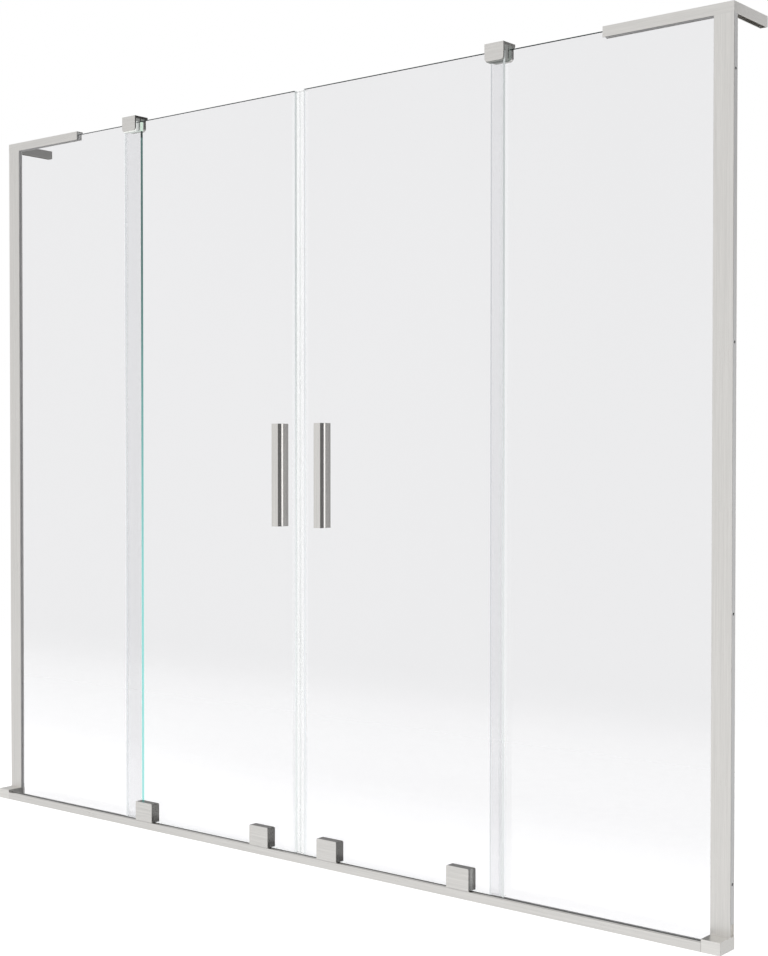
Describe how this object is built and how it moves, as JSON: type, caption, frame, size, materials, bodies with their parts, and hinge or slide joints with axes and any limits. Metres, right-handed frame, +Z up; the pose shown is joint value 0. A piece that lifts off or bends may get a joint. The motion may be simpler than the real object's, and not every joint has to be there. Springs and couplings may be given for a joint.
{
  "type": "sliding bath screen",
  "caption": "Bath screen with fixed side panes, sliding glass doors that meet in the middle on a low running rail, wall posts, top corner brackets and bar handles.",
  "frame": {"origin": "middle of the running rail's flat underside, on the bath rim, below the line where the two doors meet", "axes": "+X to the right along the bath rim, +Y from the viewer through the glass to the bath's inner side, +Z up"},
  "size_m": [1.826, 0.1515, 1.505],
  "materials": {
    "rail_metal": "satin, brushed along its length",
    "block_metal": "satin",
    "post_metal": "satin, brushed upright",
    "channel_metal": "mill",
    "bracket_metal": "satin, brushed along its length",
    "guide_metal": "satin",
    "cover_metal": "satin",
    "handle_metal": "satin, brushed upright",
    "clamp_metal": "satin",
    "screw_steel": "bright",
    "fixed_glass": "clear, green edge",
    "door_glass": "clear, green edge",
    "seal_clear": "clear, slightly cloudy",
    "magnet_pale": "matt, slightly see-through",
    "pad_clear": "soft, slightly see-through",
    "liner_nylon": "matt",
    "carriage_nylon": "matt",
    "wheel_nylon": "smooth",
    "rubber_grey": "matt"
  },
  "bodies": {
    "frame": {"running_rail": "rail_metal", "rail_stops": "rubber_grey", "corner_block_left": "block_metal", "corner_block_right": "block_metal", "wall_channel_left": "channel_metal", "wall_channel_right": "channel_metal", "post_left": "post_metal", "post_right": "post_metal", "profile_screws": "screw_steel", "glazing_gasket_left": "rubber_grey", "glazing_gasket_right": "rubber_grey", "fixed_glass_left": "fixed_glass", "fixed_glass_right": "fixed_glass", "top_bracket_left": "bracket_metal", "top_bracket_right": "bracket_metal", "bracket_gasket_left": "rubber_grey", "bracket_gasket_right": "rubber_grey", "base_channel_left": "channel_metal", "base_channel_right": "channel_metal", "setting_blocks": "rubber_grey", "threshold_strip": "seal_clear", "top_guide_left": "guide_metal", "top_guide_right": "guide_metal", "guide_liners": "liner_nylon", "guide_pads": "pad_clear", "guide_screws": "screw_steel"},
    "left_door": {"door_glass_left": "door_glass", "roller_cover_left_outer": "cover_metal", "roller_cover_left_inner": "cover_metal", "carriage_left_outer": "carriage_nylon", "carriage_left_inner": "carriage_nylon", "axles_left": "screw_steel", "clamp_bolts_left": "clamp_metal", "glass_gaskets_left": "pad_clear", "handle_outer_left": "handle_metal", "handle_inner_left": "handle_metal", "handle_screws_left": "screw_steel", "magnetic_seal_left": "seal_clear", "magnet_left": "magnet_pale", "bottom_seal_left": "seal_clear", "side_seal_left": "seal_clear"},
    "right_door": {"door_glass_right": "door_glass", "roller_cover_right_inner": "cover_metal", "roller_cover_right_outer": "cover_metal", "carriage_right_inner": "carriage_nylon", "carriage_right_outer": "carriage_nylon", "axles_right": "screw_steel", "clamp_bolts_right": "clamp_metal", "glass_gaskets_right": "pad_clear", "handle_outer_right": "handle_metal", "handle_inner_right": "handle_metal", "handle_screws_right": "screw_steel", "magnetic_seal_right": "seal_clear", "magnet_right": "magnet_pale", "bottom_seal_right": "seal_clear", "side_seal_right": "seal_clear"},
    "roller_left_outer": {"wheel_left_outer": "wheel_nylon"},
    "roller_left_inner": {"wheel_left_inner": "wheel_nylon"},
    "roller_right_inner": {"wheel_right_inner": "wheel_nylon"},
    "roller_right_outer": {"wheel_right_outer": "wheel_nylon"}
  },
  "joints": [
    {"name": "left_door_slide", "type": "slide", "parent": "frame", "child": "left_door", "axis": [-1, 0, 0], "range_m": [0, 0.365]},
    {"name": "right_door_slide", "type": "slide", "parent": "frame", "child": "right_door", "axis": [1, 0, 0], "range_m": [0, 0.365]},
    {"name": "roller_left_outer_spin", "type": "hinge", "parent": "left_door", "child": "roller_left_outer", "pos_m": [-0.423, 0, 0.02505], "axis": [0, 1, 0], "continuous": true},
    {"name": "roller_left_inner_spin", "type": "hinge", "parent": "left_door", "child": "roller_left_inner", "pos_m": [-0.089, 0, 0.02505], "axis": [0, 1, 0], "continuous": true},
    {"name": "roller_right_inner_spin", "type": "hinge", "parent": "right_door", "child": "roller_right_inner", "pos_m": [0.089, 0, 0.02505], "axis": [0, 1, 0], "continuous": true},
    {"name": "roller_right_outer_spin", "type": "hinge", "parent": "right_door", "child": "roller_right_outer", "pos_m": [0.399, 0, 0.02505], "axis": [0, 1, 0], "continuous": true}
  ],
  "couplings": [
    {"joint": "roller_left_outer_spin", "follows": "left_door_slide", "rad_per_m": -83.333},
    {"joint": "roller_left_inner_spin", "follows": "left_door_slide", "rad_per_m": -83.333},
    {"joint": "roller_right_inner_spin", "follows": "right_door_slide", "rad_per_m": 83.333},
    {"joint": "roller_right_outer_spin", "follows": "right_door_slide", "rad_per_m": 83.333}
  ]
}
